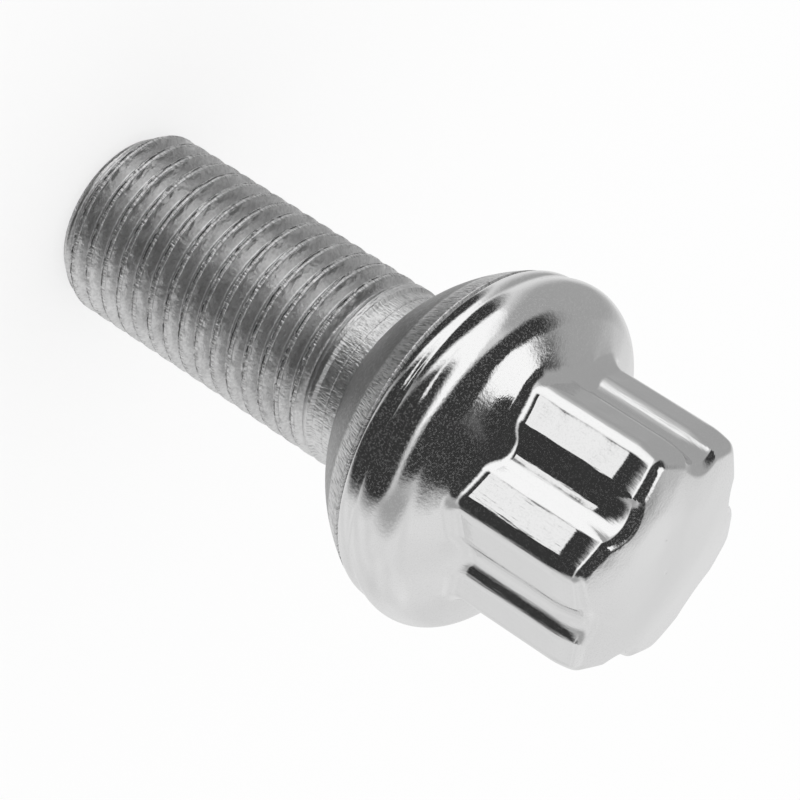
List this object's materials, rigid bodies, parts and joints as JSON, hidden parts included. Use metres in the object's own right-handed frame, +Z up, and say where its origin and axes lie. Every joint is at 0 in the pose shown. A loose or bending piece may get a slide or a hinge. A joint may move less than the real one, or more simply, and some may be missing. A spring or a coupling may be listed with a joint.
{
  "type": "wheel bolt",
  "caption": "Ball seat wheel bolt with a fine-threaded shank, a domed flange and a fluted hexagon head under a bright pressed cap.",
  "frame": {"origin": "centre of the thread tip's flat face, which the bolt stands on", "axes": "+Z up the bolt's axis from the tip to the head, +X through a corner of the hexagon"},
  "size_m": [0.026, 0.026, 0.0505],
  "materials": {
    "zinc_steel": "matt grey zinc",
    "bright_cap": "mirror bright"
  },
  "bodies": {
    "root": {"bolt_body": "zinc_steel", "head_cap": "bright_cap"}
  },
  "joints": []
}
